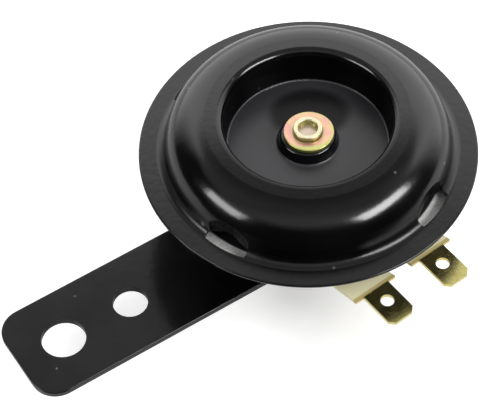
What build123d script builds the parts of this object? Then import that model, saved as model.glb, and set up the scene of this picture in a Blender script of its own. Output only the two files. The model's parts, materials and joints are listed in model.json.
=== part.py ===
"""Disc horn for a vehicle: a slotted tone disc on a sprung diaphragm, over a pressed housing with
its coil, breaker contacts, blade terminals and strip bracket.

Millimetres, +Z along the horn's axis towards its tone disc. The origin is the centre of the
bracket's mounting hole, on the bracket's back face, and the horn's axis stands at +X from it.
"""

import os
from math import cos, pi, radians, sin, sqrt, tan

from build123d import *

os.makedirs("parts", exist_ok=True)

# Bracket: a flat steel strip with two bolt holes
HORN_OFFSET = 60.5
BRACKET_WIDTH = 22.8
BRACKET_THICKNESS = 1.5
BRACKET_OVERHANG = 10.6
BRACKET_CORNER = 5.5
MOUNTING_HOLE_RADIUS = 4.65
SECOND_HOLE_RADIUS = 3.7
HOLE_SPACING = 15.95
BRACKET_EDGE = 0.25

# Centre stud, its nut and washers
STUD_RADIUS = 3.0
STUD_CLEARANCE = 0.3
STUD_TAIL = 1.5
THREAD_CLEARANCE = 0.05
PLAIN_WASHER_RADIUS = 6.2
PLAIN_WASHER_THICKNESS = 1.2
SPRING_WASHER_RADIUS = 5.2
SPRING_WASHER_THICKNESS = 1.4
SPRING_WASHER_SPLIT = 0.9
NUT_ACROSS_FLATS = 10.0
NUT_HEIGHT = 5.0

# Pressed housing: a coil cup, a flat ring around it, a sloping wall and a crimped rim
HOUSING_SHEET = 0.7
CUP_RADIUS = 16.2
CUP_DEPTH = 8.7
RING_WIDTH = 8.3
WALL_RUN = 4.0
WALL_DEPTH = 7.8
SEAT_WIDTH = 3.7
CRIMP_LIP = 1.6
HOUSING_BEND = 1.2
RING_BEND = 1.5
RIM_BEND = 0.95

# Diaphragm and its gasket, clamped in the crimped rim
GASKET_THICKNESS = 0.5
GASKET_WIDTH = 2.0
DIAPHRAGM_THICKNESS = 0.3
CORRUGATION_RADIUS = 18.0
CORRUGATION_WIDTH = 4.4
CORRUGATION_HEIGHT = 0.7

# Tone disc: a pressed dome with a deep centre, four slots and a free flat rim
DISC_GAP = 0.8
DISC_SHEET = 0.8
FLANGE_WIDTH = 5.3
DISC_EDGE = 0.3
CREST_WIDTH = 10.97
DOME_SLOPE = 82.0
DOME_HEIGHT = 9.85
DOME_SHOULDER = 8.35
FOOT_FILLET = 2.0
RECESS_RADIUS = 17.35
RECESS_DRAFT = 4.0
RECESS_LIP = 1.5
RECESS_FILLET = 0.4
FLOOR_HEIGHT = 1.6
HUB_HEIGHT = 4.06
HUB_RADIUS = 5.6
HUB_SLOPE = 74.0
HUB_FILLET = 0.7
SLOT_COUNT = 4
SLOT_AZIMUTH = 23.0
SLOT_INSET = 1.15
SLOT_WIDTH = 2.6
SLOT_ARCH = 0.3
SLOT_BULGE = 0.55
SLOT_LENGTH = 9.6
SLOT_CORNER = 0.45

# Centre stack: armature, clamping washer, spacer and plated washer
STEM_RADIUS = 2.6
STEM_CLEARANCE = 0.12
FLARE_RADIUS = 3.0
FLARE_UNDERCUT = 0.3
STUB_HEIGHT = 1.15
STUB_BORE_RADIUS = 2.1
STUB_BORE_FLOOR = 1.7
STUB_BORE_DEPTH = 1.3
DISC_WASHER_RADIUS = 5.2
DISC_WASHER_THICKNESS = 0.95
DISC_WASHER_CLEARANCE = 0.25
DISC_WASHER_SHIFT = 0.2
DISC_WASHER_SHIFT_AZIMUTH = -30.0
SPACER_RADIUS = 4.4
SPACER_FOOT_RADIUS = 7.0
SPACER_FOOT_THICKNESS = 1.2
CLAMP_WASHER_RADIUS = 7.5
CLAMP_WASHER_THICKNESS = 1.0
ARMATURE_FLANGE_RADIUS = 8.0
ARMATURE_FLANGE_THICKNESS = 2.6
PLUNGER_RADIUS = 4.8
POLE_GAP = 0.8
CORE_RADIUS = 5.0
CORE_HEIGHT = 6.8

# Coil on its bobbin
BOBBIN_CLEARANCE = 0.35
BOBBIN_WALL = 0.8
BOBBIN_FLANGE = 1.0
BOBBIN_HEADROOM = 0.65
COIL_INSET = 0.8

# Breaker contacts on an insulated post, and the screw that sets them
CONTACT_POST_AZIMUTH = 120.0
CONTACT_STRIP_WIDTH = 5.0
CONTACT_POINT_OFFSET = 4.8
CONTACT_POINT_RADIUS = 1.5
CONTACT_POINT_HEIGHT = 0.5
LEAF_THICKNESS = 0.3
LEAF_GAP = 0.25
LEAF_REACH = 1.1
LEAF_MARGIN = 0.8
BRIDGE_THICKNESS = 0.8
COLLAR_RADIUS = 2.6
COLLAR_WALL = 0.6
COLLAR_CAP = 0.5
CONTACT_RIVET_RADIUS = 1.1
ADJUSTER_AZIMUTH = 60.0
ADJUSTER_RADIUS = 2.0
ADJUSTER_CLEARANCE = 0.03
ADJUSTER_TIP_GAP = 0.1
ADJUSTER_TAIL = 1.2
ADJUSTER_SLOT_WIDTH = 0.7
ADJUSTER_SLOT_DEPTH = 1.1
BUSH_WALL = 0.9
BUSH_NECK = 0.35
BUSH_HEIGHT = 2.3
BUSH_FOOT = 0.7

# Blade terminals, riveted through insulating plates on the flat ring
TERMINAL_AZIMUTH = -85.5
TERMINAL_SPACING = 14.6
TERMINAL_SHEET = 0.8
BLADE_WIDTH = 6.3
BLADE_LENGTH = 8.8
BLADE_TIP_CHAMFER = 1.1
BLADE_HOLE_RADIUS = 1.4
BLADE_HOLE_FROM_FOLD = 3.6
TERMINAL_BASE_WIDTH = 10.2
TERMINAL_RISE = 17.0
TERMINAL_RISE_RUN = 8.7
TERMINAL_FOOT_OUT = 2.4
TERMINAL_FOOT_IN = 2.3
TERMINAL_BEND = 1.0
TERMINAL_RIVETS_OUT = 0.65
TERMINAL_RIVET_RADIUS = 1.5
RIVET_HEAD_RATIO = 1.75
RIVET_HEAD_HEIGHT = 0.8
RIVET_CLEARANCE = 0.05
INSULATOR_THICKNESS = 1.0
INNER_INSULATOR_THICKNESS = 0.8
INSULATOR_BUSH_WALL = 0.7
TAG_THICKNESS = 0.4
TAG_WIDTH = 4.0

# Heights that the pieces share, from the bracket's back face upwards
cup_floor = BRACKET_THICKNESS
cup_inside = cup_floor + HOUSING_SHEET
ring_bottom = cup_floor + CUP_DEPTH
ring_top = ring_bottom + HOUSING_SHEET
rim_bottom = ring_bottom + WALL_DEPTH
gasket_bottom = rim_bottom + HOUSING_SHEET
diaphragm_bottom = gasket_bottom + GASKET_THICKNESS
diaphragm_top = diaphragm_bottom + DIAPHRAGM_THICKNESS
crimp_top = diaphragm_top + HOUSING_SHEET
disc_rim = crimp_top + DISC_GAP + DISC_SHEET
hub_top = disc_rim + HUB_HEIGHT
hub_bottom = hub_top - DISC_SHEET
washer_top = hub_top + DISC_WASHER_THICKNESS
stub_top = washer_top + STUB_HEIGHT
flange_top = diaphragm_bottom - CLAMP_WASHER_THICKNESS
flange_bottom = flange_top - ARMATURE_FLANGE_THICKNESS
core_top = cup_inside + CORE_HEIGHT
leaf_top = flange_bottom - LEAF_GAP
leaf_bottom = leaf_top - LEAF_THICKNESS
bobbin_top = leaf_bottom - BOBBIN_HEADROOM
bridge_bottom = leaf_top + 2 * CONTACT_POINT_HEIGHT
bridge_top = bridge_bottom + BRIDGE_THICKNESS
terminal_top = ring_bottom - INSULATOR_THICKNESS
terminal_bottom = terminal_top - TERMINAL_SHEET
tag_bottom = ring_top + INNER_INSULATOR_THICKNESS
tag_top = tag_bottom + TAG_THICKNESS

# Radii that the pieces share
stud_hole = STUD_RADIUS + STUD_CLEARANCE
ring_radius = CUP_RADIUS + RING_WIDTH
wall_radius = ring_radius + WALL_RUN
rim_radius = wall_radius + SEAT_WIDTH
bore_of_crimp = rim_radius - HOUSING_SHEET
clamped_radius = bore_of_crimp - (RIM_BEND - HOUSING_SHEET) - 0.05
bobbin_bore = max(CORE_RADIUS, PLUNGER_RADIUS) + BOBBIN_CLEARANCE
bobbin_barrel = bobbin_bore + BOBBIN_WALL
bobbin_radius = CUP_RADIUS - HOUSING_SHEET - BOBBIN_CLEARANCE
rivet_head = TERMINAL_RIVET_RADIUS * RIVET_HEAD_RATIO
insulator_bush = TERMINAL_RIVET_RADIUS + RIVET_CLEARANCE + INSULATOR_BUSH_WALL
ring_flat_inside = CUP_RADIUS + HOUSING_BEND + 0.1
ring_flat_outside = ring_radius - RING_BEND * tan(radians(31))
ring_middle = (ring_flat_inside + ring_flat_outside) / 2
terminal_row = sqrt((ring_middle + TERMINAL_RIVETS_OUT) ** 2 - (TERMINAL_SPACING / 2) ** 2)
rise_start = terminal_row + TERMINAL_FOOT_OUT
blade_fold = rise_start + TERMINAL_RISE_RUN

# The horn's axis, and the planes that its pieces are drawn on
HORN_AXIS = Axis((HORN_OFFSET, 0, 0), (0, 0, 1))
SECTION = Plane(origin=(HORN_OFFSET, 0, 0), x_dir=(1, 0, 0), z_dir=(0, -1, 0))


def level(height, azimuth=0.0):
    """A plane across the horn's axis at a height, with its x direction at an azimuth."""
    outward = (cos(radians(azimuth)), sin(radians(azimuth)), 0)
    return Plane(origin=(HORN_OFFSET, 0, height), x_dir=outward, z_dir=(0, 0, 1))


def radial_section(azimuth, sideways):
    """An upright plane beside the horn's axis: x runs outwards at an azimuth and y runs up."""
    outward = Vector(cos(radians(azimuth)), sin(radians(azimuth)), 0)
    across = Vector(-outward.Y, outward.X, 0)
    origin = Vector(HORN_OFFSET, 0, 0) + across * sideways
    return Plane(origin=origin, x_dir=outward, z_dir=-across)


def polar(radius, azimuth):
    """A point across the horn's axis, for sketches on a level plane."""
    return (radius * cos(radians(azimuth)), radius * sin(radians(azimuth)))


def finish(piece, name):
    """Labels a finished piece and writes its STEP file."""
    piece.part.label = name
    export_step(piece.part, f"parts/{name}.step")


# Bracket
with BuildPart() as bracket:
    with BuildSketch() as strip:
        with Locations(((HORN_OFFSET - BRACKET_OVERHANG) / 2, 0)):
            Rectangle(HORN_OFFSET + BRACKET_OVERHANG, BRACKET_WIDTH)
        fillet(strip.vertices().group_by(Axis.X)[0], BRACKET_CORNER)
        with Locations((HORN_OFFSET, 0)):
            Circle(BRACKET_WIDTH / 2)
        Circle(MOUNTING_HOLE_RADIUS, mode=Mode.SUBTRACT)
        with Locations((HOLE_SPACING, 0)):
            Circle(SECOND_HOLE_RADIUS, mode=Mode.SUBTRACT)
        with Locations((HORN_OFFSET, 0)):
            Circle(stud_hole, mode=Mode.SUBTRACT)
    extrude(amount=BRACKET_THICKNESS)
    outline = bracket.faces().sort_by(Axis.Z)[-1].outer_wire().edges()
    underside = bracket.faces().sort_by(Axis.Z)[0].outer_wire().edges()
    fillet(outline + underside, BRACKET_EDGE)
finish(bracket, "bracket")

# Housing, one sheet from the stud hole to the crimped lip over the diaphragm
with BuildPart() as housing:
    with BuildSketch(SECTION):
        with BuildLine():
            FilletPolyline(
                (stud_hole, cup_floor),
                (CUP_RADIUS, cup_floor),
                (CUP_RADIUS, ring_bottom),
                (ring_radius, ring_bottom),
                (wall_radius, rim_bottom),
                (rim_radius, rim_bottom),
                (rim_radius, crimp_top),
                (rim_radius - CRIMP_LIP, crimp_top),
                radius=[HOUSING_BEND, HOUSING_BEND, RING_BEND, RIM_BEND, RIM_BEND, RIM_BEND],
            )
            offset(amount=HOUSING_SHEET, side=Side.LEFT)
        make_face()
    revolve(axis=HORN_AXIS)
    with BuildSketch(level(ring_bottom, TERMINAL_AZIMUTH)):
        with Locations(*[(terminal_row, side * TERMINAL_SPACING / 2) for side in (-1, 1)]):
            Circle(insulator_bush + RIVET_CLEARANCE)
    extrude(amount=HOUSING_SHEET, mode=Mode.SUBTRACT)
    with BuildSketch(level(ring_bottom)):
        with Locations(polar(ring_middle, CONTACT_POST_AZIMUTH)):
            Circle(CONTACT_RIVET_RADIUS + RIVET_CLEARANCE)
        with Locations(polar(ring_middle, ADJUSTER_AZIMUTH)):
            Circle(ADJUSTER_RADIUS + BUSH_WALL - BUSH_NECK + RIVET_CLEARANCE)
    extrude(amount=HOUSING_SHEET, mode=Mode.SUBTRACT)
finish(housing, "housing")

# Diaphragm gasket
with BuildPart() as diaphragm_gasket:
    with BuildSketch(level(gasket_bottom)):
        Circle(clamped_radius)
        Circle(clamped_radius - GASKET_WIDTH, mode=Mode.SUBTRACT)
    extrude(amount=GASKET_THICKNESS)
finish(diaphragm_gasket, "diaphragm_gasket")

# Diaphragm, with one raised corrugation
with BuildPart() as diaphragm:
    with BuildSketch(SECTION):
        with BuildLine():
            FilletPolyline(
                (STEM_RADIUS + STEM_CLEARANCE, diaphragm_bottom),
                (CORRUGATION_RADIUS - CORRUGATION_WIDTH / 2, diaphragm_bottom),
                (CORRUGATION_RADIUS, diaphragm_bottom + CORRUGATION_HEIGHT),
                (CORRUGATION_RADIUS + CORRUGATION_WIDTH / 2, diaphragm_bottom),
                (clamped_radius, diaphragm_bottom),
                radius=[CORRUGATION_WIDTH / 2, CORRUGATION_WIDTH / 2, CORRUGATION_WIDTH / 2],
            )
            offset(amount=DIAPHRAGM_THICKNESS, side=Side.LEFT)
        make_face()
    revolve(axis=HORN_AXIS)
finish(diaphragm, "diaphragm")

# Tone disc
dome_shoulder_radius = RECESS_RADIUS + CREST_WIDTH
dome_foot_radius = dome_shoulder_radius + DOME_HEIGHT / tan(radians(DOME_SLOPE))
recess_foot = RECESS_RADIUS - (DOME_HEIGHT - FLOOR_HEIGHT) * tan(radians(RECESS_DRAFT))
hub_foot = HUB_RADIUS + (HUB_HEIGHT - FLOOR_HEIGHT) / tan(radians(HUB_SLOPE))
with BuildSketch() as slot_shape:
    with BuildLine():
        slot_side = SLOT_WIDTH - SLOT_BULGE
        ThreePointArc((SLOT_ARCH, -SLOT_LENGTH / 2), (0, 0), (SLOT_ARCH, SLOT_LENGTH / 2))
        Line((SLOT_ARCH, SLOT_LENGTH / 2), (slot_side, SLOT_LENGTH / 2))
        ThreePointArc((slot_side, SLOT_LENGTH / 2), (SLOT_WIDTH, 0), (slot_side, -SLOT_LENGTH / 2))
        Line((slot_side, -SLOT_LENGTH / 2), (SLOT_ARCH, -SLOT_LENGTH / 2))
    make_face()
    fillet(slot_shape.vertices(), SLOT_CORNER)
with BuildPart() as tone_disc:
    with BuildSketch(SECTION):
        with BuildLine():
            FilletPolyline(
                (STEM_RADIUS + STEM_CLEARANCE, hub_top),
                (HUB_RADIUS, hub_top),
                (hub_foot, disc_rim + FLOOR_HEIGHT),
                (recess_foot, disc_rim + FLOOR_HEIGHT),
                (RECESS_RADIUS, disc_rim + DOME_HEIGHT),
                (dome_shoulder_radius, disc_rim + DOME_HEIGHT),
                (dome_foot_radius, disc_rim),
                (dome_foot_radius + FLANGE_WIDTH, disc_rim),
                radius=[HUB_FILLET, HUB_FILLET, RECESS_FILLET, RECESS_LIP, DOME_SHOULDER, FOOT_FILLET],
            )
            offset(amount=DISC_SHEET, side=Side.RIGHT)
        make_face()
    revolve(axis=HORN_AXIS)
    rim_edges = tone_disc.edges().filter_by(GeomType.CIRCLE).group_by(SortBy.RADIUS)[-1]
    fillet(rim_edges, DISC_EDGE)
    with BuildSketch(level(disc_rim - DISC_SHEET)):
        with PolarLocations(dome_foot_radius - SLOT_INSET, SLOT_COUNT, start_angle=SLOT_AZIMUTH):
            add(slot_shape.sketch)
    extrude(amount=DOME_HEIGHT, mode=Mode.SUBTRACT)
finish(tone_disc, "tone_disc")

# Plated washer on the tone disc's hub
with BuildPart() as disc_washer:
    with BuildSketch(level(hub_top)):
        with Locations(polar(DISC_WASHER_SHIFT, DISC_WASHER_SHIFT_AZIMUTH)):
            Circle(DISC_WASHER_RADIUS)
            Circle(STEM_RADIUS + DISC_WASHER_CLEARANCE, mode=Mode.SUBTRACT)
    extrude(amount=DISC_WASHER_THICKNESS)
    fillet(disc_washer.edges().filter_by(GeomType.CIRCLE).group_by(SortBy.RADIUS)[-1], DISC_WASHER_THICKNESS / 4)
finish(disc_washer, "disc_washer")

# Spacer between diaphragm and tone disc
with BuildPart() as disc_spacer:
    with BuildSketch(SECTION):
        with BuildLine():
            Polyline(
                (STEM_RADIUS + STEM_CLEARANCE, diaphragm_top),
                (SPACER_FOOT_RADIUS, diaphragm_top),
                (SPACER_FOOT_RADIUS, diaphragm_top + SPACER_FOOT_THICKNESS),
                (SPACER_RADIUS, diaphragm_top + SPACER_FOOT_THICKNESS),
                (SPACER_RADIUS, hub_bottom),
                (STEM_RADIUS + STEM_CLEARANCE, hub_bottom),
                close=True,
            )
        make_face()
    revolve(axis=HORN_AXIS)
finish(disc_spacer, "disc_spacer")

# Clamping washer under the diaphragm
with BuildPart() as clamp_washer:
    with BuildSketch(level(flange_top)):
        Circle(CLAMP_WASHER_RADIUS)
        Circle(STEM_RADIUS + STEM_CLEARANCE, mode=Mode.SUBTRACT)
    extrude(amount=CLAMP_WASHER_THICKNESS)
finish(clamp_washer, "clamp_washer")

# Armature: plunger, flange and stem, with its hollow end flared over the plated washer
with BuildPart() as armature:
    with BuildSketch(SECTION):
        with BuildLine():
            Polyline(
                (0, core_top + POLE_GAP),
                (PLUNGER_RADIUS, core_top + POLE_GAP),
                (PLUNGER_RADIUS, flange_bottom),
                (ARMATURE_FLANGE_RADIUS, flange_bottom),
                (ARMATURE_FLANGE_RADIUS, flange_top),
                (STEM_RADIUS, flange_top),
                (STEM_RADIUS, washer_top),
                (FLARE_RADIUS, washer_top + FLARE_UNDERCUT),
                (FLARE_RADIUS, stub_top),
                (STUB_BORE_RADIUS, stub_top),
                (STUB_BORE_FLOOR, stub_top - STUB_BORE_DEPTH),
                (0, stub_top - STUB_BORE_DEPTH),
                close=True,
            )
        make_face()
    revolve(axis=HORN_AXIS)
    fillet(armature.edges().group_by(Axis.Z)[-1], (FLARE_RADIUS - STUB_BORE_RADIUS) / 4)
finish(armature, "armature")

# Pole core, one piece with the stud that carries the bracket
nut_top = -PLAIN_WASHER_THICKNESS - SPRING_WASHER_THICKNESS
stud_end = nut_top - NUT_HEIGHT - STUD_TAIL
with BuildPart() as pole_core:
    with BuildSketch(level(cup_inside)):
        Circle(CORE_RADIUS)
    extrude(amount=CORE_HEIGHT)
    with BuildSketch(level(stud_end)):
        Circle(STUD_RADIUS)
    extrude(amount=cup_inside - stud_end)
    chamfer(pole_core.edges().group_by(Axis.Z)[0], STUD_RADIUS / 5)
    chamfer(pole_core.edges().group_by(Axis.Z)[-1], CORE_RADIUS / 12)
finish(pole_core, "pole_core")

# Washers and nut behind the bracket
with BuildPart() as plain_washer:
    with BuildSketch(level(-PLAIN_WASHER_THICKNESS)):
        Circle(PLAIN_WASHER_RADIUS)
        Circle(stud_hole, mode=Mode.SUBTRACT)
    extrude(amount=PLAIN_WASHER_THICKNESS)
    outer_edges = plain_washer.edges().filter_by(GeomType.CIRCLE).group_by(SortBy.RADIUS)[-1]
    fillet(outer_edges, PLAIN_WASHER_THICKNESS / 6)
finish(plain_washer, "plain_washer")

with BuildPart() as spring_washer:
    with BuildSketch(level(nut_top)):
        Circle(SPRING_WASHER_RADIUS)
        Circle(stud_hole, mode=Mode.SUBTRACT)
        with Locations(Location((0, SPRING_WASHER_RADIUS, 0), (0, 0, 35))):
            Rectangle(SPRING_WASHER_SPLIT, 2 * SPRING_WASHER_RADIUS, mode=Mode.SUBTRACT)
    extrude(amount=SPRING_WASHER_THICKNESS)
finish(spring_washer, "spring_washer")

with BuildPart() as mounting_nut:
    with BuildSketch(level(nut_top - NUT_HEIGHT)):
        RegularPolygon(NUT_ACROSS_FLATS / 2, 6, major_radius=False)
    extrude(amount=NUT_HEIGHT)
    nut_corner = NUT_ACROSS_FLATS / 2 / cos(pi / 6)
    corner_cut = nut_corner - NUT_ACROSS_FLATS / 2
    with BuildSketch(SECTION):
        with BuildLine():
            Polyline(
                (0, nut_top - NUT_HEIGHT),
                (NUT_ACROSS_FLATS / 2, nut_top - NUT_HEIGHT),
                (nut_corner, nut_top - NUT_HEIGHT + corner_cut * tan(radians(30))),
                (nut_corner, nut_top - corner_cut * tan(radians(30))),
                (NUT_ACROSS_FLATS / 2, nut_top),
                (0, nut_top),
                close=True,
            )
        make_face()
    revolve(axis=HORN_AXIS, mode=Mode.INTERSECT)
    with BuildSketch(level(nut_top - NUT_HEIGHT)):
        Circle(STUD_RADIUS + THREAD_CLEARANCE)
    extrude(amount=NUT_HEIGHT, mode=Mode.SUBTRACT)
finish(mounting_nut, "mounting_nut")

# Bobbin and winding
with BuildPart() as coil_bobbin:
    with BuildSketch(SECTION):
        with BuildLine():
            Polyline(
                (bobbin_bore, cup_inside),
                (bobbin_radius - HOUSING_BEND, cup_inside),
                (bobbin_radius, cup_inside + BOBBIN_FLANGE / 2),
                (bobbin_radius, cup_inside + BOBBIN_FLANGE),
                (bobbin_barrel, cup_inside + BOBBIN_FLANGE),
                (bobbin_barrel, bobbin_top - BOBBIN_FLANGE),
                (bobbin_radius, bobbin_top - BOBBIN_FLANGE),
                (bobbin_radius, bobbin_top),
                (bobbin_bore, bobbin_top),
                close=True,
            )
        make_face()
    revolve(axis=HORN_AXIS)
finish(coil_bobbin, "coil_bobbin")

with BuildPart() as coil_winding:
    with BuildSketch(level(cup_inside + BOBBIN_FLANGE)):
        Circle(bobbin_radius - COIL_INSET)
        Circle(bobbin_barrel, mode=Mode.SUBTRACT)
    extrude(amount=bobbin_top - cup_inside - 2 * BOBBIN_FLANGE)
finish(coil_winding, "coil_winding")

# Breaker: a spring leaf under a stiff bridge, both on one insulated post
post = polar(ring_middle, CONTACT_POST_AZIMUTH)
adjuster = polar(ring_middle, ADJUSTER_AZIMUTH)
strip_start = post[0] - CONTACT_STRIP_WIDTH / 2
leaf_end = CONTACT_POINT_OFFSET + CONTACT_POINT_RADIUS + LEAF_MARGIN
bridge_end = adjuster[0] + CONTACT_STRIP_WIDTH / 2
collar_bore = CONTACT_RIVET_RADIUS + RIVET_CLEARANCE
spigot_radius = collar_bore + COLLAR_WALL
with BuildPart() as contact_leaf:
    with BuildSketch(level(leaf_bottom)) as leaf_outline:
        with Locations(((strip_start + leaf_end) / 2, post[1])):
            Rectangle(leaf_end - strip_start, CONTACT_STRIP_WIDTH)
        fillet(leaf_outline.vertices(), CONTACT_STRIP_WIDTH / 3)
        tongue_tip = ARMATURE_FLANGE_RADIUS - LEAF_REACH
        with Locations((0, (tongue_tip + post[1]) / 2)):
            Rectangle(CONTACT_STRIP_WIDTH, post[1] - tongue_tip)
        with Locations(post):
            Circle(spigot_radius + RIVET_CLEARANCE, mode=Mode.SUBTRACT)
    extrude(amount=LEAF_THICKNESS)
finish(contact_leaf, "contact_leaf")

with BuildPart() as contact_bridge:
    with BuildSketch(level(bridge_bottom)) as bridge_outline:
        with Locations(((strip_start + bridge_end) / 2, post[1])):
            Rectangle(bridge_end - strip_start, CONTACT_STRIP_WIDTH)
        fillet(bridge_outline.vertices(), CONTACT_STRIP_WIDTH / 3)
        with Locations(post):
            Circle(spigot_radius + RIVET_CLEARANCE, mode=Mode.SUBTRACT)
    extrude(amount=BRIDGE_THICKNESS)
finish(contact_bridge, "contact_bridge")

with BuildPart() as moving_contact:
    with BuildSketch(level(leaf_top)):
        with Locations((CONTACT_POINT_OFFSET, post[1])):
            Circle(CONTACT_POINT_RADIUS)
    extrude(amount=CONTACT_POINT_HEIGHT)
finish(moving_contact, "moving_contact")

with BuildPart() as fixed_contact:
    with BuildSketch(level(leaf_top + CONTACT_POINT_HEIGHT)):
        with Locations((CONTACT_POINT_OFFSET, post[1])):
            Circle(CONTACT_POINT_RADIUS)
    extrude(amount=CONTACT_POINT_HEIGHT)
finish(fixed_contact, "fixed_contact")

with BuildPart() as contact_post:
    with BuildSketch(level(ring_top)):
        with Locations(post):
            Circle(COLLAR_RADIUS)
    extrude(amount=leaf_bottom - ring_top)
    with BuildSketch(level(leaf_bottom)):
        with Locations(post):
            Circle(spigot_radius)
    extrude(amount=bridge_top - leaf_bottom)
    with BuildSketch(level(ring_top)):
        with Locations(post):
            Circle(collar_bore)
    extrude(amount=bridge_top - ring_top, mode=Mode.SUBTRACT)
finish(contact_post, "contact_post")

with BuildPart() as contact_collars:
    for bottom, top in ((leaf_top, bridge_bottom), (bridge_top, bridge_top + COLLAR_CAP)):
        inner = spigot_radius + RIVET_CLEARANCE if top == bridge_bottom else collar_bore
        with BuildSketch(level(bottom)):
            with Locations(post):
                Circle(COLLAR_RADIUS)
                Circle(inner, mode=Mode.SUBTRACT)
        extrude(amount=top - bottom)
finish(contact_collars, "contact_collars")


def rivet_spans(shank_radius, head_radius, bottom, top):
    """The start, end and radius of a rivet's lower head, shank and upper head."""
    lower = (bottom - RIVET_HEAD_HEIGHT, bottom, head_radius)
    upper = (top, top + RIVET_HEAD_HEIGHT, head_radius)
    return (lower, (bottom, top, shank_radius), upper)


contact_head = COLLAR_RADIUS - COLLAR_WALL / 2
with BuildPart() as contact_rivet:
    for start, end, radius in rivet_spans(CONTACT_RIVET_RADIUS, contact_head, ring_bottom, bridge_top + COLLAR_CAP):
        with BuildSketch(level(start)):
            with Locations(post):
                Circle(radius)
        extrude(amount=end - start)
    fillet(contact_rivet.edges().group_by(Axis.Z)[0], RIVET_HEAD_HEIGHT / 2)
    fillet(contact_rivet.edges().group_by(Axis.Z)[-1], RIVET_HEAD_HEIGHT / 2)
finish(contact_rivet, "contact_rivet")

# Adjusting screw in its swaged bush
bush_radius = ADJUSTER_RADIUS + BUSH_WALL
bush_axis = Axis((HORN_OFFSET + adjuster[0], adjuster[1], 0), (0, 0, 1))
bush_section = Plane(origin=bush_axis.position, x_dir=(1, 0, 0), z_dir=(0, -1, 0))
with BuildPart() as adjuster_bush:
    with BuildSketch(bush_section):
        with BuildLine():
            Polyline(
                (ADJUSTER_RADIUS + ADJUSTER_CLEARANCE, ring_bottom - BUSH_FOOT),
                (bush_radius, ring_bottom - BUSH_FOOT),
                (bush_radius, ring_bottom),
                (bush_radius - BUSH_NECK, ring_bottom),
                (bush_radius - BUSH_NECK, ring_top),
                (bush_radius, ring_top),
                (bush_radius, ring_top + BUSH_HEIGHT),
                (ADJUSTER_RADIUS + ADJUSTER_CLEARANCE, ring_top + BUSH_HEIGHT),
                close=True,
            )
        make_face()
    revolve(axis=bush_axis)
finish(adjuster_bush, "adjuster_bush")

with BuildPart() as adjusting_screw:
    screw_bottom = ring_bottom - BUSH_FOOT - ADJUSTER_TAIL
    screw_top = bridge_bottom - ADJUSTER_TIP_GAP
    with BuildSketch(level(screw_bottom)):
        with Locations(adjuster):
            Circle(ADJUSTER_RADIUS)
    extrude(amount=screw_top - screw_bottom)
    chamfer(adjusting_screw.edges().group_by(Axis.Z)[0], ADJUSTER_RADIUS / 8)
    chamfer(adjusting_screw.edges().group_by(Axis.Z)[-1], ADJUSTER_RADIUS / 4)
    with BuildSketch(level(screw_bottom)):
        with Locations(Location((*adjuster, 0), (0, 0, 20))):
            Rectangle(3 * ADJUSTER_RADIUS, ADJUSTER_SLOT_WIDTH)
    extrude(amount=ADJUSTER_SLOT_DEPTH, mode=Mode.SUBTRACT)
finish(adjusting_screw, "adjusting_screw")

# Blade terminals
fold_height = terminal_top + TERMINAL_RISE_RUN * tan(radians(TERMINAL_RISE))
blade_tip = blade_fold + BLADE_LENGTH
for name, side in (("terminal_left", -1), ("terminal_right", 1)):
    sideways = side * TERMINAL_SPACING / 2
    with BuildPart() as terminal:
        with BuildSketch(radial_section(TERMINAL_AZIMUTH, sideways)):
            with BuildLine():
                FilletPolyline(
                    (terminal_row - TERMINAL_FOOT_IN, terminal_top),
                    (rise_start, terminal_top),
                    (blade_fold, fold_height),
                    (blade_tip, fold_height),
                    radius=[TERMINAL_BEND, TERMINAL_BEND + TERMINAL_SHEET],
                )
                offset(amount=TERMINAL_SHEET, side=Side.RIGHT)
            make_face()
        extrude(amount=TERMINAL_BASE_WIDTH / 2, both=True)
        with BuildSketch(level(terminal_bottom, TERMINAL_AZIMUTH)):
            shoulder = (TERMINAL_BASE_WIDTH - BLADE_WIDTH) / 2
            edge = (BLADE_WIDTH + shoulder) / 2
            with Locations(*[(blade_fold + BLADE_LENGTH / 2, sideways + k * edge) for k in (-1, 1)]):
                Rectangle(BLADE_LENGTH, shoulder)
            with Locations((blade_fold + BLADE_HOLE_FROM_FOLD, sideways)):
                Circle(BLADE_HOLE_RADIUS)
            with Locations((terminal_row, sideways)):
                Circle(TERMINAL_RIVET_RADIUS + RIVET_CLEARANCE)
        extrude(amount=2 * fold_height, mode=Mode.SUBTRACT)
        tip = terminal.faces().sort_by(Axis(HORN_AXIS.position, level(0, TERMINAL_AZIMUTH).x_dir))[-1]
        chamfer(tip.edges().filter_by(Axis.Z), BLADE_TIP_CHAMFER)
    finish(terminal, name)

# Insulating plates outside and inside the housing
rivet_points = [(terminal_row, side * TERMINAL_SPACING / 2) for side in (-1, 1)]
plate_span = TERMINAL_SPACING + TERMINAL_BASE_WIDTH
insulator_edge = rise_start - TERMINAL_BEND / 3
with BuildPart() as outer_insulator:
    with BuildSketch(level(terminal_top, TERMINAL_AZIMUTH)):
        Circle(ring_flat_outside)
        Circle(ring_flat_inside, mode=Mode.SUBTRACT)
        with Locations((insulator_edge / 2, 0)):
            Rectangle(insulator_edge, plate_span, mode=Mode.INTERSECT)
    extrude(amount=INSULATOR_THICKNESS)
    with BuildSketch(level(ring_bottom, TERMINAL_AZIMUTH)):
        with Locations(*rivet_points):
            Circle(insulator_bush)
    extrude(amount=HOUSING_SHEET)
    with BuildSketch(level(terminal_top, TERMINAL_AZIMUTH)):
        with Locations(*rivet_points):
            Circle(TERMINAL_RIVET_RADIUS + RIVET_CLEARANCE)
    extrude(amount=INSULATOR_THICKNESS + HOUSING_SHEET, mode=Mode.SUBTRACT)
finish(outer_insulator, "outer_insulator")

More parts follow.
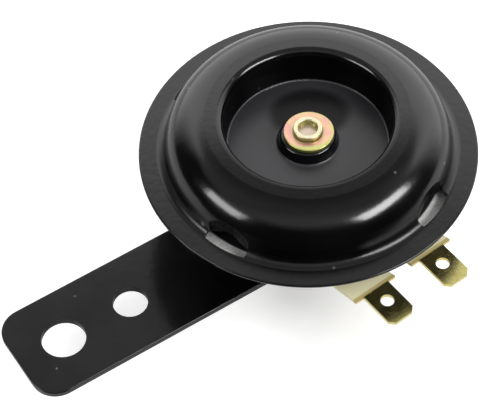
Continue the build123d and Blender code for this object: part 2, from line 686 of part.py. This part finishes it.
with BuildPart() as inner_insulator:
    with BuildSketch(level(ring_top, TERMINAL_AZIMUTH)):
        Circle(ring_flat_outside - HOUSING_SHEET)
        Circle(ring_flat_inside, mode=Mode.SUBTRACT)
        with Locations((insulator_edge / 2, 0)):
            Rectangle(insulator_edge, plate_span, mode=Mode.INTERSECT)
        with Locations(*rivet_points):
            Circle(TERMINAL_RIVET_RADIUS + RIVET_CLEARANCE, mode=Mode.SUBTRACT)
    extrude(amount=INNER_INSULATOR_THICKNESS)
finish(inner_insulator, "inner_insulator")

with BuildPart() as lead_tags:
    with BuildSketch(level(tag_bottom, TERMINAL_AZIMUTH)):
        with Locations(*rivet_points):
            Circle(rivet_head)
        for side, point in zip((-1, 1), rivet_points):
            with Locations((point[0], point[1] - side * rivet_head)):
                Rectangle(TAG_WIDTH, 2 * rivet_head)
        with Locations(*rivet_points):
            Circle(TERMINAL_RIVET_RADIUS + RIVET_CLEARANCE, mode=Mode.SUBTRACT)
    extrude(amount=TAG_THICKNESS)
finish(lead_tags, "lead_tags")

with BuildPart() as terminal_rivets:
    for start, end, radius in rivet_spans(TERMINAL_RIVET_RADIUS, rivet_head, terminal_bottom, tag_top):
        with BuildSketch(level(start, TERMINAL_AZIMUTH)):
            with Locations(*rivet_points):
                Circle(radius)
        extrude(amount=end - start)
    fillet(terminal_rivets.edges().group_by(Axis.Z)[0], RIVET_HEAD_HEIGHT / 2)
    fillet(terminal_rivets.edges().group_by(Axis.Z)[-1], RIVET_HEAD_HEIGHT / 2)
finish(terminal_rivets, "terminal_rivets")
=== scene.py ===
"""Looks for a black disc horn: paint, bare and plated steel, brass, and a white studio.

The CAD pieces keep their shapes and places. Heights are from the bracket's back face, radii are
from the horn's axis, and azimuths and elevations are in degrees.
"""

import json
from math import cos, pi, radians, sin

import bpy
from mathutils import Matrix, Vector


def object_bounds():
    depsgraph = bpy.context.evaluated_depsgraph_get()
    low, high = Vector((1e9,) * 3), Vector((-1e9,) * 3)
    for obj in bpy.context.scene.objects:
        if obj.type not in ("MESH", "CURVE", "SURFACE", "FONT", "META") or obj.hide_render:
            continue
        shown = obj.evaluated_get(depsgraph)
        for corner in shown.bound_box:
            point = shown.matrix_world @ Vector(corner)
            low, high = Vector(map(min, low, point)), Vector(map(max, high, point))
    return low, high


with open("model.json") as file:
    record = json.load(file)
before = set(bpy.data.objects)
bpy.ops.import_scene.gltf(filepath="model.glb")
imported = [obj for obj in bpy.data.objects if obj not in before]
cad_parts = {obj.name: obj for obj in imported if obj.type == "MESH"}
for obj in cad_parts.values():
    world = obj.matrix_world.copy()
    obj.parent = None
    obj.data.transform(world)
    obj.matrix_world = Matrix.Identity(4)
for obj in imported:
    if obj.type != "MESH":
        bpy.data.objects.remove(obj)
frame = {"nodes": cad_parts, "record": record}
cad_box = [list(corner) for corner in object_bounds()]

MM = 0.001

# A point on the horn's axis, and the one that the lamps face
HORN = Vector((60.5 * MM, 0, 0))
HORN_MIDDLE = HORN + Vector((0, 0, 22 * MM))

# The camera looks towards BACK. Coordinates turned by FACING have +Y pointing there.
BACK = 59.5
FACING = 90 - BACK

# Tone disc, with a deep centre inside its dome
DISC_RIM_HEIGHT = 21.8 * MM
DOME_FOOT_RADIUS = 29.6 * MM
CREST_INNER_RADIUS = 21.5 * MM
CREST_LIP_HEIGHT = 30.1 * MM
RECESS_RADIUS = 17.4 * MM
RECESS_FLOOR_RADIUS = 16.8 * MM
RECESS_FLOOR_HEIGHT = 23.4 * MM

# Diaphragm, which is bare outside this radius and painted near black inside it as the dome's shadow
DOME_SHADOW_RADIUS = 28.05 * MM

# Plated washer, and the hollow stub that stands in it
WASHER_TOP = 26.8 * MM
WASHER_RADIUS = 5.2 * MM
STUB_TOP = 27.95 * MM
STUB_RADIUS = 3.0 * MM
STUB_BORE_FLOOR_RADIUS = 1.7 * MM

# Blade terminals, and how far out their feet fold into blades
TERMINAL_NODES = ("terminal_left", "terminal_right")
TERMINAL_AZIMUTH = -85.5
BLADE_FOLD = 30.95 * MM

# Height of one turn of the coil's wire, and the space between the lowest piece and the floor
WIRE_PITCH = 0.6 * MM
FLOOR_GAP = 0.2 * MM


class Signal:
    """One output of a shader node, which takes part in arithmetic."""

    def __init__(self, finish, socket):
        self.finish = finish
        self.socket = socket

    def maths(self, operation, *others):
        return self.finish.node("Math", {"operation": operation}, self, *others)

    def __add__(self, other):
        return self.maths("ADD", other)

    def __sub__(self, other):
        return self.maths("SUBTRACT", other)

    def __mul__(self, other):
        return self.maths("MULTIPLY", other)

    def __truediv__(self, other):
        return self.maths("DIVIDE", other)

    def __pow__(self, other):
        return self.maths("POWER", other)

    def __rsub__(self, other):
        return self.finish.node("Math", {"operation": "SUBTRACT"}, other, self)

    __radd__ = __add__
    __rmul__ = __mul__

    def biggest(self, other):
        return self.maths("MAXIMUM", other)

    def unsigned(self):
        return self.maths("ABSOLUTE")

    def between(self, low, high, to_low=0.0, to_high=1.0):
        """This value carried from one range to another, with soft, clamped ends."""
        settings = {"interpolation_type": "SMOOTHSTEP"}
        return self.finish.node("MapRange", settings, self, low, high, to_low, to_high)

    def past(self, edge, width):
        """0 below an edge and 1 above it, with a soft step as wide as given."""
        return self.between(edge - width / 2, edge + width / 2)

    def short_of(self, edge, width):
        """1 below an edge and 0 above it, with a soft step as wide as given."""
        return self.between(edge - width / 2, edge + width / 2, 1.0, 0.0)


def from_centre(x, y):
    """How far a point on a level plane is from its centre."""
    return (x * x + y * y) ** 0.5


def towards(x, y, azimuth):
    """How far a point on a level plane reaches towards an azimuth."""
    return x * cos(radians(azimuth)) + y * sin(radians(azimuth))


class Finish:
    """A material or world under construction."""

    def __init__(self, name, world=False):
        self.data = bpy.data.worlds.new(name) if world else bpy.data.materials.new(name)
        self.data.use_nodes = True
        self.tree = self.data.node_tree
        self.tree.nodes.clear()

    def node(self, kind, settings=None, *values, pick=0, **named):
        """A node with its settings, then its input values or links, by place or by name."""
        node = self.tree.nodes.new("ShaderNode" + kind)
        for key, value in (settings or {}).items():
            setattr(node, key, value)
        by_name = [(key.replace("_", " "), value) for key, value in named.items()]
        for key, value in list(enumerate(values)) + by_name:
            if isinstance(value, Signal):
                self.tree.links.new(value.socket, node.inputs[key])
            elif value is not None:
                node.inputs[key].default_value = value
        return Signal(self, node.outputs[pick]) if node.outputs else node

    def place(self, centre=HORN, turn=0.0, stretch=(1, 1, 1)):
        """Object coordinates about a centre, turned about Z and stretched."""
        here = self.node("TexCoord", pick=3)
        moved = self.node("VectorMath", {"operation": "SUBTRACT"}, here, tuple(centre))
        return self.node("Mapping", None, moved, None, (0, 0, radians(turn)), stretch)

    def apart(self, vector):
        """The X, Y and Z of a vector."""
        first = self.node("SeparateXYZ", None, vector)
        return [Signal(self, output) for output in first.socket.node.outputs]

    def grain(self, vector, scale, detail=2.0, roughness=0.5):
        """Fractal noise, from 0 to 1."""
        return self.node("TexNoise", None, Vector=vector, Scale=scale, Detail=detail, Roughness=roughness)

    def specks(self, vector, scale, reach, share):
        """Small round flecks in a share of the cells."""
        away = self.node("TexVoronoi", None, Vector=vector, Scale=scale)
        cell_colour = self.node("TexVoronoi", None, Vector=vector, Scale=scale, pick=1)
        chance = self.node("SeparateColor", None, cell_colour)
        return away.between(reach / 2, reach, 1.0, 0.0) * chance.between(1 - share, 1.01 - share)

    def blend(self, first, second, share):
        """A colour between two."""
        rgba = [value if isinstance(value, Signal) else (*value, 1.0) for value in (first, second)]
        other_inputs = [None] * 5
        return self.node("Mix", {"data_type": "RGBA"}, share, *other_inputs, *rgba, pick=2)

    def bump(self, height, depth):
        """A normal from a height, with the depth of its full range in metres."""
        return self.node("Bump", None, Height=height, Distance=depth, Strength=1.0)

    def surface(self, **inputs):
        """The finished surface, with constants set on its own sockets."""
        self.node("OutputMaterial", None, self.node("BsdfPrincipled", None, **inputs))
        return self.data


def flecks(paint):
    """Dust, lint and a few larger crumbs."""
    here = paint.place((0, 0, 0))
    dust = paint.specks(here, 420, 0.16, 0.04)
    lint = paint.specks(here, 190, 0.075, 0.07)
    crumb = paint.specks(paint.place((3 * MM, 1 * MM, 2 * MM)), 70, 0.045, 0.05)
    return dust.biggest(lint).biggest(crumb)


def black_paint():
    """Semi-gloss stoving paint with faint orange peel, smears and dust, and painted shade in and around
    its recess.
    """
    jet = (0.0012, 0.0012, 0.0015)
    smeared = (0.0028, 0.0028, 0.0032)
    dusty = (0.026, 0.026, 0.029)
    lint_grey = (0.22, 0.21, 0.2)
    # Near black for painted shade
    shade_black = (0.002, 0.002, 0.002, 1.0)

    paint = Finish("black_paint")
    here = paint.place((0, 0, 0))
    peel = paint.grain(here, 900)
    smear = paint.grain(here, 55, 4.0, 0.6)
    fleck = flecks(paint)
    x, y, z = paint.apart(paint.place(turn=FACING))
    radius = from_centre(x, y)

    # Fine dust lies on the recess's floor, except on a patch behind the hub, which is painted shade of
    # the hub
    settled = radius.short_of(RECESS_FLOOR_RADIUS, 0.2 * MM)
    settled = settled * z.past(RECESS_FLOOR_HEIGHT - 0.35 * MM, 0.3 * MM)
    settled = settled * z.short_of(RECESS_FLOOR_HEIGHT + 0.3 * MM, 0.2 * MM)
    # The patch behind the hub is painted shade: no dust there, and a near black surface without gloss
    patch_x = (x - 0.8 * MM) / (8.4 * MM)
    patch_y = (y - 7.5 * MM) / (6.6 * MM)
    hub_shade = (patch_x * patch_x + patch_y * patch_y).between(0.6, 1.3, 0.75, 0.0)

    # Painted shade: the paint turns a glossless near black on the recess's wall, on the patch behind the
    # hub and inside the crest's front
    wall_shade = radius.past(RECESS_FLOOR_RADIUS - 0.4 * MM, 0.4 * MM)
    wall_shade = wall_shade * radius.short_of(RECESS_RADIUS, 0.6 * MM)
    wall_shade = wall_shade * z.past(RECESS_FLOOR_HEIGHT + 0.25 * MM, 0.3 * MM)
    crest_shade = radius.between(CREST_INNER_RADIUS, CREST_INNER_RADIUS + 3 * MM, 0.62, 0.0)
    crest_shade = crest_shade * z.between(CREST_LIP_HEIGHT, CREST_LIP_HEIGHT + 0.8 * MM)
    crest_shade = crest_shade * y.between(-13 * MM, 3 * MM, 1.0, 0.0)
    painted_shade = (wall_shade * 0.85).biggest(crest_shade).biggest(settled * hub_shade * 0.72)

    # The bend at the dome's foot is rougher on its left and right
    foot = radius.past(DOME_FOOT_RADIUS - 1 * MM, 0.6 * MM)
    foot = foot * radius.short_of(DOME_FOOT_RADIUS + 1 * MM, 0.8 * MM)
    foot = foot * z.past(DISC_RIM_HEIGHT - 0.05 * MM, 0.3 * MM)
    foot = foot * x.unsigned().past(10 * MM, 6 * MM)

    tint = paint.blend(jet, smeared, smear.between(0.35, 0.7))
    tint = paint.blend(tint, dusty, settled * (1 - hub_shade))
    colour = paint.blend(tint, lint_grey, fleck * 0.55)
    rough = smear.between(0.3, 0.75, 0.15, 0.2) + fleck * 0.3 + settled * 0.2 + foot * 0.16
    normal = paint.bump(peel + fleck * 0.6, 0.012 * MM)
    glossy = paint.node("BsdfPrincipled", None, Base_Color=colour, Roughness=rough, Normal=normal)
    # The painted shade is a near black surface with no gloss
    shade_surface = paint.node("BsdfPrincipled", None, Base_Color=shade_black, Roughness=0.9, Specular_IOR_Level=0.0)
    paint.node("OutputMaterial", None, paint.node("MixShader", None, painted_shade, glossy, shade_surface))
    return paint.data


def spring_steel():
    """Bare rolled steel with fine brush lines, a few stains and a painted shadow of the dome on its inner
    part.
    """
    steel = Finish("spring_steel")
    lines = steel.grain(steel.place(turn=24, stretch=(600, 3400, 600)), 1.0, 3.0, 0.6)
    stain = steel.grain(steel.place(), 260, 3.0)
    x, y, _ = steel.apart(steel.place())
    # Painted shadow of the dome: the steel is near black inside this radius
    dark = from_centre(x, y).short_of(DOME_SHADOW_RADIUS, 0.5 * MM)
    colour = steel.blend((0.78, 0.79, 0.77), (1.0, 1.0, 0.98), lines.between(0.35, 0.65))
    colour = steel.blend(colour, (0.3, 0.29, 0.28), stain.between(0.62, 0.8) * 0.5)
    colour = steel.blend(colour, (0.008, 0.008, 0.009), dark)
    rough = lines.between(0.2, 0.8, 0.36, 0.55)
    normal = steel.bump(lines, 0.01 * MM)
    return steel.surface(Base_Color=colour, Metallic=0.1, Roughness=rough, Normal=normal)


def plated_steel():
    """Yellow passivated zinc, which turns pink where the film is thin and green on the edges."""
    pink = (0.74, 0.4, 0.33)
    salmon = (0.74, 0.5, 0.3)
    green = (0.56, 0.56, 0.2)
    olive = (0.26, 0.26, 0.06)
    pale_end = (0.72, 0.68, 0.46)
    olive_flank = (0.36, 0.34, 0.13)
    bore_floor = (0.62, 0.5, 0.4)

    plate = Finish("plated_steel")
    here = plate.place(turn=FACING)
    x, y, z = plate.apart(here)
    radius = from_centre(x, y)
    mottle = plate.grain(here, 420, 3.0)

    # The washer's face turns green towards its edge, and sooner at its front
    front = y.between(-4.4 * MM, -2.8 * MM, 1.1 * MM, 0.0)
    mottled_radius = radius + front + (mottle - 0.5) * (1.2 * MM)
    washer = plate.blend(pink, salmon, mottle.between(0.42, 0.66))
    washer = plate.blend(washer, green, mottled_radius.past(WASHER_RADIUS - 0.2 * MM, 0.8 * MM))
    side = z.short_of(WASHER_TOP - 0.15 * MM, 0.2 * MM)
    side = side * radius.past(WASHER_RADIUS - 0.5 * MM, 0.2 * MM)
    washer = plate.blend(washer, olive, side)

    # The stub is pale at its end only
    stub = plate.blend(pale_end, olive_flank, z.short_of(STUB_TOP - 0.2 * MM, 0.3 * MM))
    in_bore = radius.short_of(STUB_BORE_FLOOR_RADIUS - 0.025 * MM, 0.15 * MM)
    stub = plate.blend(stub, bore_floor, in_bore)

    colour = plate.blend(washer, stub, radius.short_of(STUB_RADIUS + 0.25 * MM, 0.1 * MM))
    rough = plate.grain(here, 1500).between(0.3, 0.7, 0.3, 0.42)
    normal = plate.bump(mottle, 0.01 * MM)
    return plate.surface(Base_Color=colour, Metallic=0.75, Roughness=rough, Normal=normal)


def brass(name, painted_light_share):
    """Rolled brass strip with a thin tarnish; on a terminal, a painted highlight on its foot and painted
    shade on the bend.
    """
    gold = (0.76, 0.68, 0.27)
    tarnished = (0.62, 0.5, 0.16)
    highlight_cream = (1.0, 0.95, 0.62)
    shade_brown = (0.6, 0.46, 0.14)

    strip = Finish(name)
    here = strip.place(turn=-TERMINAL_AZIMUTH)
    tarnish = strip.grain(here, 300, 4.0, 0.6)
    lines = strip.grain(strip.place(turn=-TERMINAL_AZIMUTH, stretch=(700, 7000, 700)), 1.0)
    outward = strip.apart(here)[0]
    # Painted highlight: the foot inboard of the fold is pale cream and less metallic, standing in for a
    # lamp's reflection
    foot = outward.short_of(BLADE_FOLD, 0.7 * MM) * painted_light_share
    # Painted shade: a brown gold band on the bend into the blade
    fold_shade = outward.past(BLADE_FOLD - 0.85 * MM, 0.4 * MM)
    fold_shade = fold_shade * outward.short_of(BLADE_FOLD + 0.25 * MM, 0.4 * MM) * painted_light_share

    colour = strip.blend(gold, tarnished, tarnish.between(0.4, 0.75))
    colour = strip.blend(colour, highlight_cream, foot)
    colour = strip.blend(colour, shade_brown, fold_shade * 0.8)
    metallic = foot.between(0.0, 1.0, 1.0, 0.05)
    rough = lines.between(0.3, 0.7, 0.16, 0.26) + tarnish.between(0.5, 0.8, 0.0, 0.08) + foot * 0.3
    normal = strip.bump(lines, 0.006 * MM)
    return strip.surface(Base_Color=colour, Metallic=metallic, Roughness=rough, Normal=normal)


def metal(name, dark, light, smoothest, roughest):
    """Plain plated or turned metal."""
    made = Finish(name)
    cloud = made.grain(made.place(), 600, 3.0)
    colour = made.blend(dark, light, cloud.between(0.3, 0.7))
    rough = cloud.between(0.3, 0.7, smoothest, roughest)
    normal = made.bump(cloud, 0.008 * MM)
    return made.surface(Base_Color=colour, Metallic=1.0, Roughness=rough, Normal=normal)


def moulded(name, dark, light, roughness):
    """Plastic, laminate or fibre board."""
    made = Finish(name)
    cloud = made.grain(made.place(), 500, 4.0, 0.65)
    colour = made.blend(dark, light, cloud.between(0.3, 0.7))
    rough = cloud.between(0.3, 0.7, roughness - 0.08, roughness + 0.08)
    return made.surface(Base_Color=colour, Roughness=rough, Normal=made.bump(cloud, 0.03 * MM))


def copper_wire():
    """Enamelled wire wound in layers, with painted shade in the grooves between turns."""
    made = Finish("copper_wire")
    height = made.apart(made.place())[2]
    turns = (height * (2 * pi / WIRE_PITCH)).maths("SINE")
    # Painted shade: each turn is lighter on its crown and darker in the groove between turns
    colour = made.blend((0.2, 0.07, 0.03), (0.62, 0.26, 0.1), turns.between(-1, 1))
    normal = made.bump(turns, 0.1 * MM)
    return made.surface(Base_Color=colour, Metallic=0.6, Roughness=0.35, Normal=normal)


finishes = {
    "black_paint": black_paint(),
    "spring_steel": spring_steel(),
    "plated_steel": plated_steel(),
    "bare_steel": metal("bare_steel", (0.36, 0.36, 0.37), (0.52, 0.52, 0.53), 0.3, 0.42),
    "zinc_steel": metal("zinc_steel", (0.6, 0.61, 0.62), (0.74, 0.75, 0.77), 0.26, 0.38),
    "brass": brass("brass", painted_light_share=0.0),
    "blade_brass": brass("blade_brass", painted_light_share=1.0),
    "contact_metal": metal("contact_metal", (0.6, 0.56, 0.48), (0.76, 0.72, 0.64), 0.25, 0.35),
    "copper_wire": copper_wire(),
    "bobbin_plastic": moulded("bobbin_plastic", (0.03, 0.03, 0.033), (0.05, 0.05, 0.053), 0.5),
    "insulating_board": moulded("insulating_board", (0.16, 0.1, 0.055), (0.26, 0.17, 0.1), 0.55),
    "gasket_board": moulded("gasket_board", (0.12, 0.11, 0.095), (0.2, 0.18, 0.15), 0.75),
}
for part in frame["record"]["subparts"]:
    finish = "blade_brass" if part["node"] in TERMINAL_NODES else part["material_slot"]
    for slot in frame["nodes"][part["node"]].material_slots:
        slot.material = finishes[finish]


def heading(azimuth, elevation=0.0):
    """A unit vector towards an azimuth and an elevation."""
    level = cos(radians(elevation))
    return Vector((cos(radians(azimuth)) * level, sin(radians(azimuth)) * level, sin(radians(elevation))))


def softbox(name, azimuth, elevation, distance, width, height, power):
    """A rectangular lamp that faces the horn."""
    lamp = bpy.data.lights.new(name, "AREA")
    lamp.shape = "RECTANGLE"
    lamp.size = width
    lamp.size_y = height
    lamp.energy = power
    holder = bpy.data.objects.new(name, lamp)
    bpy.context.scene.collection.objects.link(holder)
    away = heading(azimuth, elevation)
    holder.location = HORN_MIDDLE + away * distance
    holder.rotation_euler = (-away).to_track_quat("-Z", "Y").to_euler()


def studio_world():
    """A dim room with a bright panel low down behind the horn and a paler ceiling over it.

    Its coordinates are unit vectors, so z is the sine of the elevation.
    """
    room = Finish("studio", world=True)
    x, y, z = room.apart(room.node("TexCoord", pick=0))
    behind = towards(x, y, BACK)
    panel_side = towards(x, y, BACK - 11) / from_centre(x, y).biggest(0.001)
    panel = panel_side.between(0.28, 0.75) * z.between(0.762, 0.806, 1.0, 0.0)
    ceiling = z.between(0.66, 0.76) * behind.between(-0.5, 0.62, 0.3, 0.45)
    front_fill = behind.between(-0.5, -0.1, 0.3, 0.0) * z.between(0.5, 0.72)
    light = ceiling.biggest(panel * 2.1) + front_fill + 0.02
    seen_white = room.node("LightPath").biggest(light)
    room.node("OutputWorld", None, room.node("Background", None, (1, 1, 1, 1), seen_white))
    return room.data


def floor_white():
    """A pale floor that stays white to the eye and still takes the soft shadow under the disc, where a
    painted shadow also dims its glow to the eye.
    """
    floor = Finish("floor_white")
    lit = floor.node("BsdfDiffuse", None, (0.72, 0.72, 0.72, 1))
    x, y, _ = floor.apart(floor.place(turn=FACING))
    # Painted shadow: the glow that the camera sees is weaker near a point under the disc's front
    from_shadow = from_centre(x - 7 * MM, y + 22 * MM)
    glow_with_painted_shadow = floor.node("LightPath") * from_shadow.between(3 * MM, 25 * MM, 0.2, 0.62)
    glow = floor.node("Emission", None, (1, 1, 1, 1), glow_with_painted_shadow)
    floor.node("OutputMaterial", None, floor.node("AddShader", None, lit, glow))
    return floor.data


def studio_floor(near=-0.062, far=1.4, half_width=0.5):
    """A flat sheet just under the object, from in front of the horn's axis to far behind it."""
    middle = HORN + Vector((0, 0, cad_box[0][2] - FLOOR_GAP))
    away = heading(BACK)
    across = Vector((away.y, -away.x, 0))
    ends = [(near, -half_width), (near, half_width), (far, half_width), (far, -half_width)]
    corners = [tuple(middle + away * ahead + across * side) for ahead, side in ends]
    sheet = bpy.data.meshes.new("floor")
    sheet.from_pydata(corners, [], [(0, 1, 2, 3)])
    sheet.materials.append(floor_white())
    floor = bpy.data.objects.new("floor", sheet)
    bpy.context.scene.collection.objects.link(floor)
    return floor


def add_camera(place, azimuth, elevation, roll, lens, sensor=36):
    """The scene's camera, which stands at an azimuth and an elevation from what it looks at."""
    data = bpy.data.cameras.new("camera")
    data.sensor_width = sensor
    data.lens = lens
    data.clip_start = 0.01
    camera = bpy.data.objects.new("camera", data)
    bpy.context.scene.collection.objects.link(camera)
    swing = Matrix.Rotation(radians(azimuth + 90), 4, "Z")
    tilt = Matrix.Rotation(radians(90 - elevation), 4, "X")
    spin = Matrix.Rotation(radians(roll), 4, "Z")
    camera.matrix_world = Matrix.Translation(place) @ swing @ tilt @ spin
    bpy.context.scene.camera = camera


softbox("left_softbox", BACK + 111, elevation=30, distance=0.8, width=0.4, height=0.22, power=2.7)
softbox("right_softbox", BACK - 120, elevation=41, distance=0.8, width=0.5, height=0.22, power=5.8)
bpy.context.scene.world = studio_world()
floor = studio_floor()
camera_place = Vector((-0.0768, -0.2042, 0.3274))
add_camera(camera_place, BACK - 180, elevation=53.02, roll=-2.945, lens=142.5)
bpy.context.scene.view_settings.view_transform = "Standard"
